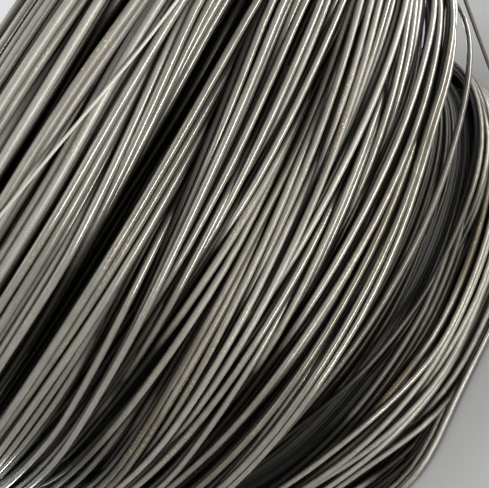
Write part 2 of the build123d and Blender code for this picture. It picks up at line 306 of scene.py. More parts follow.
# A turn that comes out from behind others within the picture lies hidden as far as the picture's edge. It
# dives over a run of some degrees.
diving = dict(run=6, rise=4, beyond=3, out=-2.6)


def hideBeyond(knots, edge, way, out):
    angle, level = knots[-1][:2]
    if way * (edge - angle) > diving["beyond"]:
        rise = (level - knots[-2][1]) / abs(angle - knots[-2][0])
        angle, level = angle + way * diving["run"], level + diving["rise"] * rise
        knots.append((angle, level, out))
        knots.append((way * (max(way * edge, way * angle) + diving["beyond"]), level + rise, out))
    return knots


wallCentre = coil["wallRadius"] / wire - 0.5
# On the far side, bands of this height drift up and down together, and each turn strays on its own
farSide = dict(bandHeight=4.5, topLevel=20, bands=40, drift=0.55, stray=0.35, lift=0.2, margin=12, step=20,
               overlap=1.5, wallShare=0.9, wallOut=-0.1, footOut=-6.3)
bandDrift = dice.normal(0, farSide["drift"], (farSide["bands"], 360 // farSide["step"]))


# The knots of a row, each with how far out the turn lies there
def fullKnots(row):
    return [knot if len(knot) == 3 else (*knot, row[0]) for knot in row[1:]]


def windRow(part, row, face, farOut):
    seen = fullKnots(row)
    edges = np.interp(seen[0][1], seenLevels, seenFrom), np.interp(seen[-1][1], seenLevels, seenTo)
    seen = hideBeyond(seen[::-1], edges[0], -1, row[0] + diving["out"])[::-1]
    seen = hideBeyond(seen, edges[1], 1, row[0] + diving["out"])
    knotAngles, knotLevels, knotOuts = (np.array(values, float) for values in zip(*seen))
    first, last = knotAngles[0], knotAngles[-1]
    inView = np.where((angles >= first - farSide["overlap"]) & (angles <= last + farSide["overlap"]))[0]
    far = np.arange(last + farSide["margin"], first + 360 - farSide["margin"], farSide["step"])
    share = (far - last) / (first + 360 - last)
    band = int((farSide["topLevel"] - knotLevels.mean()) / farSide["bandHeight"])
    place = (far / farSide["step"]).astype(int) % bandDrift.shape[1]
    drift = bandDrift[band, place] + dice.normal(0, farSide["stray"], len(far))
    drift *= np.sqrt(np.sin(math.pi * share))
    easing = (3 - 2 * share) * share ** 2
    outs = np.concatenate([knotOuts, farOut + dice.normal(0, farSide["lift"], len(far))])
    aim = wallCentre + roundLine(np.concatenate([knotAngles, far]), outs)
    radius = aim
    # The first pass finds how deep the turn comes to lie, and the second its levels there
    for step in range(2):
        sightAngle, sightShare = sightOn(face, radius)
        level = np.interp(sightAngle[inView], knotAngles, knotLevels) / sightShare[inView]
        back = level[-1] + (level[0] - level[-1]) * easing + drift
        level = roundLine(np.concatenate([angles[inView], far]), np.concatenate([level, back]))
        level = np.maximum(level, lowestLevel)
        if step == 0:
            slope = np.zeros(stations)
            slope[inView] = -level[inView] / (eyeReach * np.cos(np.radians(angles[inView])) - aim[inView])
            radius = layTurn(aim, level, roundLine(angles, slope, blur=3))
    addTurn(part, radius, level)


def windBehind(part, radius, level):
    addTurn(part, layTurn(radius, level), level)


# The turns behind, which show dimly between those in front
backing = dict(
    depth=2.4, pitch=1.0, start=0.7, above=12, below=34, uneven=0.2, stray=0.15,
    gapDepth=6.0, gapShares=(0.2, 0.5, 0.8),
    recessDepth=12.0, recessLevels=(-37.5, -53, 17), recessStray=0.4,       # first level, last level, turns
    footLevels=(-54.5, -69, 14), footAngles=(-40, -25, 10, 40, 180), footOuts=(-6.8, -7.6, -7.6, -6.8, -6.6),
    footStray=0.3, turnAbout=0.06,
)


def windWall():
    for part, rows, face in (("wall", wallTurns, wallFace), ("foot", footTurns, footFace)):
        outs = [np.mean([knot[2] for knot in fullKnots(row)]) for row in rows]
        # Those in front come first, and neighbours that are as far out take turns at it
        order = sorted(range(len(rows)), key=lambda k: -outs[k] - backing["turnAbout"] * (k % 2))
        for k in order:
            farOut = rows[k][0] * farSide["wallShare"] + farSide["wallOut"]
            windRow(part, rows[k], face, farOut if part == "wall" else farSide["footOut"])
    upper, lower = roundLine(*zip(*gapUpper)), roundLine(*zip(*gapLower))
    for edge, way, count in ((upper, 1, backing["above"]), (lower, -1, backing["below"])):
        for k in range(count):
            level = edge + way * backing["start"] + way * k * backing["pitch"]
            windBehind("wall", wallCentre - backing["depth"] + wander(backing["uneven"]),
                       level + wander(backing["stray"]) * min(k, 2))
    for share in backing["gapShares"]:
        windBehind("wall", wallCentre - backing["gapDepth"], upper + (lower - upper) * share)
    stray = backing["recessStray"]
    for level in np.linspace(*backing["recessLevels"]):
        radius = wallCentre - backing["recessDepth"] + dice.uniform(-stray, stray)
        windBehind("foot", radius, level + wander(stray))
    lie = roundLine(backing["footAngles"], backing["footOuts"])
    for level in np.linspace(*backing["footLevels"]):
        windBehind("foot", wallCentre + lie, level + wander(backing["footStray"]))


# Turns across an end of the coil lie off centre by a little, so they cross each other
ends = dict(inside=1.2, topTurns=19, topLayers=2, layer=0.9, offCentre=0.9, bottomTurns=19, bottomBack=6.5,
            topSlants=(16, 84, 8), bottomSlants=(20, 82, 5), uneven=0.25)


def windEnds():
    inner = coil["boreRadius"] / wire + ends["inside"]
    upperOuter = (coil["wallRadius"] - coil["shoulder"]) / wire
    topLevel = levelOf(coil["top"]) - 0.5
    for layer in range(ends["topLayers"]):
        for share in (np.arange(ends["topTurns"]) + 0.5 * layer) / (ends["topTurns"] - 0.5):
            stray = wander(ends["offCentre"] * (1 - 0.3 * layer), waves=3)
            level = topLevel - ends["layer"] * layer + dice.uniform(-0.2, 0.0)
            addTurn("top", inner + (upperOuter - inner) * share + stray, level, 0.03, layer)
    lowerOuter = wallCentre - ends["bottomBack"] - coil["shoulder"] / wire
    for share in np.arange(ends["bottomTurns"]) / (ends["bottomTurns"] - 1):
        radius = inner + (lowerOuter - inner) * share + wander(ends["uneven"], waves=3)
        addTurn("bottom", radius, lowestLevel + dice.uniform(0.0, 0.2))
    # Round both shoulders
    reach = coil["shoulder"] / wire - 0.5
    first, last, count = ends["topSlants"]
    for layer in range(ends["topLayers"]):
        for slant in np.radians(np.linspace(first + 5 * layer, last, count - layer)):
            bend = reach - ends["layer"] * layer
            radius = upperOuter + bend * math.cos(slant) + wander(ends["uneven"], waves=4)
            level = topLevel - reach + bend * math.sin(slant) + wander(0.2, waves=4)
            addTurn("top", radius, level, depth=layer)
    for slant in np.radians(np.linspace(*ends["bottomSlants"])):
        radius = lowerOuter + reach * math.cos(slant) + wander(0.15, waves=4)
        addTurn("bottom", radius, lowestLevel + reach - reach * math.sin(slant))


bore = dict(turns=83, radius=64.05, inset=1.4, looseness=0.35)


def windBore():
    lowest, highest = levelOf(coil["bottom"]) + bore["inset"], levelOf(coil["top"]) - bore["inset"]
    for level in np.linspace(lowest, highest, bore["turns"]):
        setBack = abs(dice.normal(0, bore["looseness"]))
        addTurn("bore", bore["radius"] + setBack + wander(0.15, waves=3), level + wander(0.3, waves=4))


# The turns of the ends and of the bore are pushed apart until none runs through another, and kept as stiff
# as wire. Turns that lie deeper give way first.
packing = dict(rounds=90, stiffness=0.25, refresh=15, near=2.4, push=0.9, yields=(0.15, 0.85))


def packTurns(group):
    place = np.array([np.stack([turns[k]["radius"], turns[k]["level"]], 1) for k in group])
    aim = place.copy()
    hold = np.array([turns[k]["hold"] for k in group])[:, None, None]
    depth = np.array([turns[k]["depth"] for k in group])
    least = (coil["boreRadius"] / wire + 0.55, lowestLevel)
    most = (wallCentre, levelOf(coil["top"]) - 0.5)
    for step in range(packing["rounds"]):
        if step % packing["refresh"] == 0:
            sampled = place[:, ::4]
            gap = sampled[None] - sampled[:, None]
            first, second = np.where(np.triu((gap ** 2).sum(3).min(2) < packing["near"] ** 2, 1))
            yields = np.clip(0.5 + 0.3 * (depth[first] - depth[second]), *packing["yields"])[:, None, None]
        gap = place[second] - place[first]
        span = np.sqrt((gap ** 2).sum(2)) + 1e-6
        move = gap * (np.clip(1.0 - span, 0, 0.5) / span)[:, :, None]
        shift = np.zeros_like(place)
        np.add.at(shift, first, -move * yields)
        np.add.at(shift, second, move * (1 - yields))
        place += shift * packing["push"]
        place += (aim - place) * hold
        bend = np.roll(place, 1, 1) - 2 * place + np.roll(place, -1, 1)
        place += packing["stiffness"] * bend
        place = np.clip(place, least, most)
    for k, line in zip(group, place):
        turns[k]["radius"], turns[k]["level"] = line[:, 0], line[:, 1]


# How open each turn lies at each station: the share of directions round it that no near turn blocks
def findOpenness(directions=36, reach=16, halfWidth=0.55):
    count = len(places)
    openness = np.zeros((count, stations), np.float32)
    rays = np.arange(directions) * 2 * math.pi / directions - math.pi
    for station in range(0, stations, 2):
        here = places[:, station]
        gap = here[None] - here[:, None]
        span = np.sqrt((gap ** 2).sum(2)) + 1e-6
        rows, columns = np.where((span < reach) & (span > 1e-3))
        facing = np.arctan2(gap[rows, columns, 1], gap[rows, columns, 0])
        half = np.arcsin(np.clip(halfWidth / span[rows, columns], 0, 1))
        blocked = np.zeros((count, directions), bool)
        for k, ray in enumerate(rays):
            turnTo = np.abs((facing - ray + math.pi) % (2 * math.pi) - math.pi)
            blocked[rows[turnTo < half], k] = True
        openness[:, station] = 1 - blocked.mean(1)
    openness[:, 1::2] = (openness[:, ::2] + np.roll(openness[:, ::2], -1, 1)) / 2
    return smoothed(openness, 3)


# How far each turn lies behind the outermost one near its level, in wire diameters
def findDepth(reach=1.8):
    depth = np.zeros(places.shape[:2])
    for station in range(stations):
        radius, level = places[:, station, 0], places[:, station, 1]
        near = np.abs(level[None] - level[:, None]) < reach
        depth[:, station] = np.where(near, radius[None], -1e3).max(1) - radius
    return smoothed(depth, 1)


windWall()
windEnds()
windBore()
print("wound", len(turns), "turns")
partOf = np.array([turn["part"] for turn in turns])
packTurns(np.where((partOf != "wall") & (partOf != "foot"))[0])
places = np.array([np.stack([turn["radius"], turn["level"]], 1) for turn in turns])

# Values at some levels, from the foot up, and what is done with them, mostly painted light and shade in the
# turns' colours. Distances are in wire diameters.
shading = dict(
    bandLevels=(-72, 22, 3.0), ownShare=0.4, bandShare=0.43, aboveShare=0.52, toneShift=-0.01, palest=1.1,
    # Painted light: the uppermost turns are paler, and painted shade reaches less deep into them
    fromAbove=((-2, 0, 7.5, 8.3, 12), (0, 1, 1, 0.35, 0.35)),       # more light on the uppermost turns
    # Painted shade on turns set back on the wall, under the proud turns, in the foot, behind others and
    # closed in
    wallBack=6.2, underProud=((-38.2, -37.4), (0.4, 1)),
    inFoot=((5.9, 7.6, 8.6, 10, 11.5), (1, 0.33, 0.25, 0.15, 0.0)),     # by how far a turn is set back
    behind=2.1, behindFade=1.5, behindLeast=0.04, closed=0.07, opens=0.2, aboveDeeper=0.6, aboveOpener=0.06,
    soapy=((-62, -54, -38, -26, -23, -16, -13, 3, 7), (2.2, 1.5, 0.5, 0.6, 1.2, 1.2, 0.5, 0.3, 0.9)),
    soapRarity=2.5,
    # A stretch beside the middle of the camera's view, darkened with painted shade and browner
    shadedAngles=((-75, -50, -25, -18), (0, 1, 1, 0)), shadedLevels=((-24, -20, -14.5, -12.5), (0, 1, 1, 0)),
    stretchShade=0.6, stretchBrown=0.5,
    # Bands that are rubbed smooth: the edges of the gap, the proud turns and those above the slanting ones
    rubbed=((-64, -52, -38, -32, -27, -24, -15.5, -13, -8, -5, -1, 1.5, 4, 7),
            (0.1, 0.3, 0.75, 0.85, 0.6, 0.3, 0.25, 0.75, 0.9, 0.7, 0.9, 0.65, 0.4, 0.15)),
    patchDepth=0.45, patchHeight=2.5, patchAngle=15, patchRows=40, ownPolish=0.22,
)


# Patches of wall that are smoother or duller, blended into each other
def findPatches(level):
    columns = 360 // shading["patchAngle"] + 1
    patches = dice.uniform(-shading["patchDepth"], shading["patchDepth"], (shading["patchRows"], columns))
    patches[:, -1] = patches[:, 0]
    up = np.clip((level - shading["bandLevels"][0]) / shading["patchHeight"], 0, shading["patchRows"] - 1.01)
    turned = np.broadcast_to((angles + 180) / shading["patchAngle"], level.shape)
    row, column = up.astype(int), turned.astype(int)
    up, turned = up - row, turned - column
    left = patches[row, column] * (1 - up) + patches[row + 1, column] * up
    right = patches[row, column + 1] * (1 - up) + patches[row + 1, column + 1] * up
    return left * (1 - turned) + right * turned


# Each turn's own tone with painted light from above, the painted shade where little light reaches it, the
# brown of drawing soap, and how smooth it is rubbed
def findTonesAndShade():
    level, setBack = places[:, :, 1], wallCentre - places[:, :, 0]
    isWall, isFoot = (partOf == "wall")[:, None], (partOf == "foot")[:, None]
    # Neighbouring turns come from the same stretch of wire, so their tones go together
    bandLevels = np.arange(*shading["bandLevels"])
    bandTone = np.interp(level, bandLevels, dice.uniform(0, 1, len(bandLevels)))
    # Painted light: the uppermost turns are made paler, as more light falls on them from above
    above = np.interp(level, *shading["fromAbove"])
    own = shading["ownShare"] * dice.uniform(0, 1, len(turns))[:, None] + shading["bandShare"] * bandTone
    tone = np.clip(own + shading["aboveShare"] * above + shading["toneShift"], 0, shading["palest"])
    # Little light reaches a turn that others enclose, one behind its neighbours, or one in the recess, so
    # its
    # colour is darkened there: painted shade
    recessed = np.clip((shading["wallBack"] - setBack) / 2, 0.05, 1)
    recessed = recessed * np.interp(level, *shading["underProud"])
    recessed = np.where(isFoot, np.interp(setBack, *shading["inFoot"]), np.where(isWall, recessed, 1))
    behind = (shading["behind"] + shading["aboveDeeper"] * above - findDepth()) / shading["behindFade"]
    behind = np.where(isWall | isFoot, np.clip(behind, shading["behindLeast"], 1), 1)
    openness = (findOpenness() - shading["closed"] + shading["aboveOpener"] * above) / shading["opens"]
    # Painted shade over a stretch beside the middle of the view, which is browner too
    shadedStretch = np.interp(angles, *shading["shadedAngles"]) * np.interp(level, *shading["shadedLevels"])
    light = np.clip(openness, 0, 1) * behind * recessed * (1 - shading["stretchShade"] * shadedStretch)
    soap = dice.uniform(0, 1, len(turns))[:, None] ** shading["soapRarity"]
    soap = soap * np.interp(level, *shading["soapy"]) + shading["stretchBrown"] * shadedStretch
    smooth = np.interp(level, *shading["rubbed"]) + findPatches(level)
    smooth = smooth + dice.uniform(-shading["ownPolish"], shading["ownPolish"], len(turns))[:, None]
    return np.stack([tone, light, soap, np.clip(smooth, 0, 1) * np.clip(light * 2, 0, 1)], 2)


def addObject(name, data):
    body = bpy.data.objects.new(name, data)
    bpy.context.scene.collection.objects.link(body)
    return body


def addMesh(name, points, faces):
    mesh = bpy.data.meshes.new(name)
    mesh.from_pydata(points, [], faces)
    return addObject(name, mesh)


# One mesh of many closed turns. UV runs in metres along the wire and once round its section, from the side
# that shows: outwards on the wall, up on the upper end, and so on.
uvLay = dict(radius=0.3, apart=3.7)


def meshTurns(name, places, tonesAndShade, shows):
    count, sides = len(places), coil["sides"]
    around = np.arange(sides) * 2 * math.pi / sides
    radius = places[:, :, None, 0] * wire + wire / 2 * np.cos(around)
    height = heightOf(places[:, :, None, 1]) + wire / 2 * np.sin(around)
    turned = np.radians(angles)[None, :, None]
    points = np.stack([radius * np.sin(turned), -radius * np.cos(turned), height], 3)
    index = np.arange(count * stations * sides).reshape(count, stations, sides)
    nextStep = np.roll(index, -1, 1)
    faces = np.stack([index, nextStep, np.roll(nextStep, -1, 2), np.roll(index, -1, 2)], 3).reshape(-1, 4)
    mesh = bpy.data.meshes.new(name)
    mesh.vertices.add(points.size // 3)
    mesh.vertices.foreach_set("co", points.astype(np.float32).ravel())
    mesh.loops.add(faces.size)
    mesh.loops.foreach_set("vertex_index", faces.astype(np.int32).ravel())
    mesh.polygons.add(len(faces))
    mesh.polygons.foreach_set("loop_start", np.arange(0, faces.size, 4, dtype=np.int32))
    mesh.update(calc_edges=True)
    mesh.shade_smooth()
    step = 2 * math.pi * uvLay["radius"] / stations
    along = np.arange(stations)[None, :, None] * step + np.arange(count)[:, None, None] * uvLay["apart"]
    along = np.broadcast_to(along, index.shape)
    ring = np.broadcast_to(np.arange(sides) / sides - shows, index.shape)
    u = np.stack([along, along + step, along + step, along], 3)
    v = np.stack([ring, ring, ring + 1 / sides, ring + 1 / sides], 3)
    mesh.uv_layers.new(name="along").data.foreach_set("uv", np.stack([u, v], 4).astype(np.float32).ravel())
    # Each turn's tone, painted light and shade, soap brown and smoothness, kept as a colour attribute
    colours = np.broadcast_to(tonesAndShade[:, :, None, :], index.shape + (4,)).astype(np.float32)
    mesh.color_attributes.new("turnToneAndShade", "FLOAT_COLOR", "POINT").data.foreach_set("color", colours.ravel())
    return addObject(name, mesh)


# The pieces keep under 200,000 triangles each
tonesAndShade = findTonesAndShade()
wallGroup = np.where(partOf == "wall")[0]
wallGroup = wallGroup[np.argsort(-places[wallGroup, stations // 2, 1])]
thirds = enumerate(np.array_split(wallGroup, 3), start=1)
groups = [(f"wall_turns_{number}", group, 0.0) for number, group in thirds]
for part, shows in (("foot", 0.0), ("top", 0.25), ("bottom", 0.75), ("bore", 0.5)):
    groups.append((f"{part}_turns", np.where(partOf == part)[0], shows))
pieces = [meshTurns(name, places[group], tonesAndShade[group], shows) for name, group, shows in groups]
for piece in pieces:
    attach(piece, "root")
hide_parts("wire_coil")
print("turns meshed:", sum(len(p.data.polygons) * 2 for p in pieces), "triangles")


# A new material, its node tree and the inputs of its shader
def newMaterial(name):
    material = bpy.data.materials.new(name)
    material.use_nodes = True
    return material, material.node_tree, material.node_tree.nodes["Principled BSDF"].inputs


def setInputs(tree, sockets, values):
    for name, value in values.items():
        if isinstance(value, bpy.types.NodeSocket):
            tree.links.new(value, sockets[name])
        else:
            sockets[name].default_value = value


# A shader node group with the values of its inputs unless linked, and the sockets of the nodes that carry
# its inputs and outputs
def newGroup(name, inputs, outputs, outputKind="Float"):
    group = bpy.data.node_groups.new(name, "ShaderNodeTree")
    for label, value in inputs.items():
        kind = {1: "Float", 3: "Vector", 4: "Color"}[np.size(value)]
        socket = group.interface.new_socket(label, in_out="INPUT", socket_type="NodeSocket" + kind)
        socket.default_value = value
    for label in outputs:
        group.interface.new_socket(label, in_out="OUTPUT", socket_type="NodeSocket" + outputKind)
    given, out = group.nodes.new("NodeGroupInput"), group.nodes.new("NodeGroupOutput")
    return group, given.outputs, out.inputs


# The outputs of a new shader node. Its inputs are given as values or as sockets to link.
def addNode(tree, kind, values, **settings):
    node = tree.nodes.new("ShaderNode" + kind)
    for name, setting in settings.items():
        setattr(node, name, setting)
    setInputs(tree, node.inputs, values)
    return node.outputs


def maths(tree, operation, first, second=0.0, third=0.0):
    return addNode(tree, "Math", dict(enumerate((first, second, third))), operation=operation)[0]


def ramped(tree, value, low, high, lowValue=0.0, highValue=1.0):
    values = {"Value": value, "From Min": low, "From Max": high, "To Min": lowValue, "To Max": highValue}
    return addNode(tree, "MapRange", values, interpolation_type="SMOOTHSTEP")["Result"]


def blended(tree, factor, first, second, mode="MIX"):
    values = {"Factor": factor, "A": first, "B": second}
    return addNode(tree, "Mix", values, data_type="RGBA", blend_type=mode)["Result"]


def noise(tree, vector, scale, detail=3.0, roughness=0.55):
    values = {"Vector": vector, "Scale": scale, "Detail": detail, "Roughness": roughness}
    return addNode(tree, "TexNoise", values)["Fac"]


def bumped(tree, height, strength, distance):
    values = {"Height": height, "Strength": strength, "Distance": distance}
    return addNode(tree, "Bump", values)["Normal"]


def separated(tree, vector):
    return addNode(tree, "SeparateXYZ", {"Vector": vector})


# The place on a wire, in metres along it and once round its section
def placeOnWire(tree):
    return addNode(tree, "UVMap", {}, uv_map="along")["UV"]


def placeInSpace(tree):
    return addNode(tree, "NewGeometry", {})["Position"]


# How fine each kind of mark is along the wire and round it
markScales = dict(streaks=(60, 22, 1), mottle=(130, 3, 1), crystals=(1600, 20, 1), spots=(700, 26, 1),
                  rareness=(22, 1.0, 1), stretches=(7, 1.5, 1))


# Marks that run along a drawn wire, and the crystals of its coating
def makeDrawnMarks():
    group, given, out = newGroup("drawn_marks", {"Place": (0, 0, 0)}, (
        "Streaks", "Stretches", "Mottle", "Crystals", "Flecks", "Height"))

    def mark(kind, detail, roughness=0.55):
        scaled = addNode(group, "Mapping", {"Vector": given["Place"], "Scale": markScales[kind]})
        return noise(group, scaled["Vector"], 1.0, detail, roughness)

    streaks = mark("streaks", 4.0)
    crystals = mark("crystals", 2.0, 0.7)
    spots = ramped(group, mark("spots", 1.0), 0.58, 0.68)
    rareness = ramped(group, mark("rareness", 1.0), 0.56, 0.66)
    height = maths(group, "MULTIPLY_ADD", streaks, 0.6, maths(group, "MULTIPLY", crystals, 0.4))
    setInputs(group, out, {
        "Streaks": streaks, "Stretches": mark("stretches", 2.0), "Mottle": mark("mottle", 3.0),
        "Crystals": crystals, "Flecks": maths(group, "MULTIPLY", spots, rareness), "Height": height})
    return group


# Painted shade: how much light reaches a place, by the openness of a turn and which way its surface faces
def makePaintedShadeMask():
    group, given, out = newGroup("painted_shade_mask", {
        "Openness": 1.0, "Facing": 0.0, "Closed": 0.06, "Open": 0.95}, ("Unshaded Share", "Flank"))
    turned = maths(group, "COSINE", maths(group, "MULTIPLY", given["Facing"], 2 * math.pi))
    setInputs(group, out, {"Unshaded Share": ramped(group, given["Openness"], given["Closed"], given["Open"]),
                           "Flank": ramped(group, turned, -0.3, 0.2)})
    return group


# The grey phosphate coat, thinner and brighter where it is rubbed, browned where drawing soap has stayed,
# and darkened by painted shade on each wire's flanks and where little light reaches
def makeCoatingColour():
    group, given, out = newGroup("coating_colour", {
        "Own Tone": 0.5, "Soap": 0.0, "Mottle": 0.5, "Stretches": 0.5, "Unshaded Share": 1.0, "Flank": 1.0,
        "Dark Grey": (0.137, 0.126, 0.1, 1), "Light Grey": (0.34, 0.323, 0.288, 1),
        "Brown": (0.08, 0.063, 0.038, 1), "Painted Shade": (0.021, 0.0185, 0.013, 1)}, ("Colour",), "Color")
    mottled = maths(group, "SUBTRACT", given["Mottle"], 0.5)
    tone = maths(group, "MULTIPLY_ADD", mottled, 0.8, given["Own Tone"])
    grey = blended(group, tone, given["Dark Grey"], given["Light Grey"])
    soaped = maths(group, "MULTIPLY", given["Soap"], ramped(group, given["Stretches"], 0.42, 0.6))
    browned = blended(group, soaped, grey, given["Brown"])
    # Painted shade on the flanks of each wire, where it meets its neighbours
    shaded = blended(group, given["Flank"], blended(group, 0.7, browned, given["Painted Shade"]), browned)
    setInputs(group, out, {"Colour": blended(group, given["Unshaded Share"], given["Painted Shade"], shaded)})
    return group


drawnMarks = makeDrawnMarks()
paintedShadeMask = makePaintedShadeMask()
coatingColour = makeCoatingColour()

# Metallic where coated and where bare, roughness where dull and where rubbed
coating = dict(coated=0.3, bare=0.65, rough=0.42, rubbed=0.19, streaky=0.7, unlit=0.75,
               fleck=(0.55, 0.49, 0.34, 1), grain=(0.86, 1.12), bump=0.06, bumpDepth=0.0001)


def makeCoatedWire():
    material, tree, shader = newMaterial("phosphate_coating")
    tone = addNode(tree, "Attribute", {}, attribute_name="turnToneAndShade")
    own = addNode(tree, "SeparateColor", {"Color": tone["Color"]})
    place = placeOnWire(tree)
    marks = addNode(tree, "Group", {"Place": place}, node_tree=drawnMarks)
    facing = separated(tree, place)["Y"]
    # Painted shade from each turn's painted light and from the side of the wire that faces out
    paintedShade = addNode(tree, "Group", {"Openness": own["Green"], "Facing": facing}, node_tree=paintedShadeMask)
    colour = addNode(tree, "Group", {
        "Own Tone": own["Red"], "Soap": own["Blue"], "Mottle": marks["Mottle"],
        "Stretches": marks["Stretches"], "Unshaded Share": paintedShade["Unshaded Share"], "Flank": paintedShade["Flank"]},
        node_tree=coatingColour)["Colour"]
    grain = ramped(tree, marks["Crystals"], 0.3, 0.7, *coating["grain"])
    grained = blended(tree, 1.0, colour, grain, mode="MULTIPLY")
    flecks = maths(tree, "MULTIPLY", marks["Flecks"], paintedShade["Unshaded Share"])
    streaks = maths(tree, "SUBTRACT", marks["Streaks"], 0.5)
    streaked = maths(tree, "MULTIPLY_ADD", streaks, coating["streaky"], tone["Alpha"])
    smoothness = ramped(tree, streaked, 0.1, 0.9)
    # Where no light reaches, the dark colour also takes the gloss, as on a metal
    metal = ramped(tree, smoothness, 0.0, 1.0, coating["coated"], coating["bare"])
    unlit = ramped(tree, paintedShade["Unshaded Share"], 0.0, 0.2, coating["unlit"], 0.0)
    setInputs(tree, shader, {
        "Base Color": blended(tree, flecks, grained, coating["fleck"]),
        "Roughness": ramped(tree, smoothness, 0.0, 1.0, coating["rough"], coating["rubbed"]),
        "Metallic": maths(tree, "MAXIMUM", metal, unlit),
        "Normal": bumped(tree, marks["Height"], coating["bump"], coating["bumpDepth"])})
    return material


coatedWire = makeCoatedWire()
for piece in pieces:
    piece.data.materials.append(coatedWire)


# A wire without tones of its own. Its look says by which marks it is toned, browned and roughened.
def makePlainWire(name, placeOf, look):
    material, tree, shader = newMaterial(name)
    marks = addNode(tree, "Group", {"Place": placeOf(tree)}, node_tree=drawnMarks)
    toneBy, brownBy, roughBy = (marks[kind] for kind in look["by"])
    colour = addNode(tree, "Group", {
        "Own Tone": toneBy, "Soap": marks["Mottle"], "Mottle": marks["Mottle"], "Stretches": brownBy,
        "Dark Grey": look["dark"], "Light Grey": look["light"], "Brown": look["brown"]},
        node_tree=coatingColour)["Colour"]
    if "worn" in look:
        colour = blended(tree, ramped(tree, marks["Crystals"], 0.62, 0.75), colour, look["worn"])
    setInputs(tree, shader, {
        "Base Color": colour, "Metallic": look["metallic"],
        "Roughness": ramped(tree, roughBy, 0.3, 0.7, look["rough"], look["rubbed"]),
        "Normal": bumped(tree, marks["Height"], look["bump"], look["bumpDepth"])})
    return material


# The four tie wires. Each goes tight round the section, and its two ends are twisted together and bent over.
# The rounds that it bends over are given as the centre's distance from the axis, its height and its radius.
ties = dict(
    stand=0.0018, azimuths=(50, 140, 230, 320),
    rounds=((0.2696, 0.0153, 0.012), (0.2696, 0.3393, 0.012), (0.332, 0.3273, 0.024),
            (0.3647, 0.1373, 0.002), (0.32, 0.0153, 0.012)),
    twistHeight=0.236, twistOut=0.002, twistReach=0.0065, twistLength=0.031, twistPitch=0.011,
    strandRadius=0.0014, opening=0.007, wallSide=0.33, lineSteps=240, step=0.003, twistStep=0.0012, sides=8,
)
tieLook = dict(dark=(0.05, 0.046, 0.04, 1), light=(0.2, 0.19, 0.175, 1), brown=(0.12, 0.065, 0.03, 1),
               worn=(0.34, 0.33, 0.31, 1), by=("Streaks", "Stretches", "Mottle"), rough=0.55, rubbed=0.34,
               metallic=0.6, bump=0.2, bumpDepth=0.0001)


# The closed line drawn tight round the section, as distance from the axis and height
def tautLine():
    turn = np.linspace(0, 2 * math.pi, ties["lineSteps"], endpoint=False)
    facing = np.stack([np.cos(turn), np.sin(turn)], 1)
    rounds = np.array(ties["rounds"])
    reach = facing @ rounds[:, :2].T + rounds[:, 2]
    over = rounds[reach.argmax(1)]
    return over[:, :2] + facing * (over[:, 2:] + ties["stand"])


def lengthAlong(points):
    return np.concatenate([[0], np.cumsum(np.linalg.norm(np.diff(points, axis=0), axis=1))])


def directionAlong(points):
    ahead = np.gradient(points, axis=0)
    return ahead / np.linalg.norm(ahead, axis=1)[:, None]


def evenPoints(points, step):
    length = lengthAlong(points)
    at = np.linspace(0, length[-1], max(int(length[-1] / step), 2))
    return np.stack([np.interp(at, length, points[:, k]) for k in range(points.shape[1])], 1)


# The tie wire at azimuth 0 from one cut end to the other: a twisted strand, the loop and the other strand
def tiePath():
    line = tautLine()
    onWall = np.where((line[:, 0] > ties["wallSide"]) & (line[:, 1] > ties["twistHeight"]))[0]
    line = np.roll(line, -onWall[0], 0)
    after = line[0] - line[-1]
    crossing = line[-1] + after * (ties["twistHeight"] - line[-1][1]) / after[1]
    line = evenPoints(np.vstack([crossing, line, crossing]), ties["step"])
    loop = np.stack([line[:, 0], np.zeros(len(line)), line[:, 1]], 1)
    gap = int(ties["opening"] / ties["step"])
    bend, start = ties["twistReach"], crossing[0] + ties["twistOut"]
    bends = np.linspace(0, math.pi / 2, 7)
    axis = [(start + bend * math.sin(a), bend * (1 - math.cos(a)), crossing[1]) for a in bends]
    axis.append((axis[-1][0], ties["twistLength"], crossing[1]))
    axis = evenPoints(np.array(axis), ties["twistStep"])
    upward = np.array([0, 0, 1.0])
    across = np.cross(directionAlong(axis), upward)
    strands = []
    for side in (0, math.pi):
        wound = (np.arange(len(axis)) * ties["twistStep"] * 2 * math.pi / ties["twistPitch"] + side)[:, None]
        strands.append(axis + ties["strandRadius"] * (np.cos(wound) * upward + np.sin(wound) * across))
    path = np.vstack([strands[0][::-1], loop[gap:-gap], strands[1]])
    for step in range(2):
        path[1:-1] = (path[:-2] + 2 * path[1:-1] + path[2:]) / 4
    return path


# A wire along an open path, with its cut ends closed. UV as on the turns.
def makeWireAlong(name, path, radius, sides):
    ahead, length = directionAlong(path), lengthAlong(path)
    side = np.cross(ahead[0], (0.3, 0.5, 0.8))
    shape = bmesh.new()
    layer = shape.loops.layers.uv.new("along")
    rings = []
    for point, forward in zip(path, ahead):
        side = side - forward * (side @ forward)
        side /= np.linalg.norm(side)
        other = np.cross(forward, side)
        rings.append([shape.verts.new(point + radius * (side * math.cos(a) + other * math.sin(a)))
                      for a in np.arange(sides) * 2 * math.pi / sides])
    for step, (ring, nextRing) in enumerate(zip(rings, rings[1:])):
        for k in range(sides):
            face = shape.faces.new((ring[k], ring[(k + 1) % sides], nextRing[(k + 1) % sides], nextRing[k]))
            face.smooth = True
            for loop, (u, v) in zip(face.loops, ((0, 0), (0, 1), (1, 1), (1, 0))):
                loop[layer].uv = (length[step + u], (k + v) / sides)
    shape.faces.new(rings[0][::-1])
    shape.faces.new(rings[-1])
    mesh = bpy.data.meshes.new(name)
    shape.to_mesh(mesh)
    shape.free()
    return addObject(name, mesh)


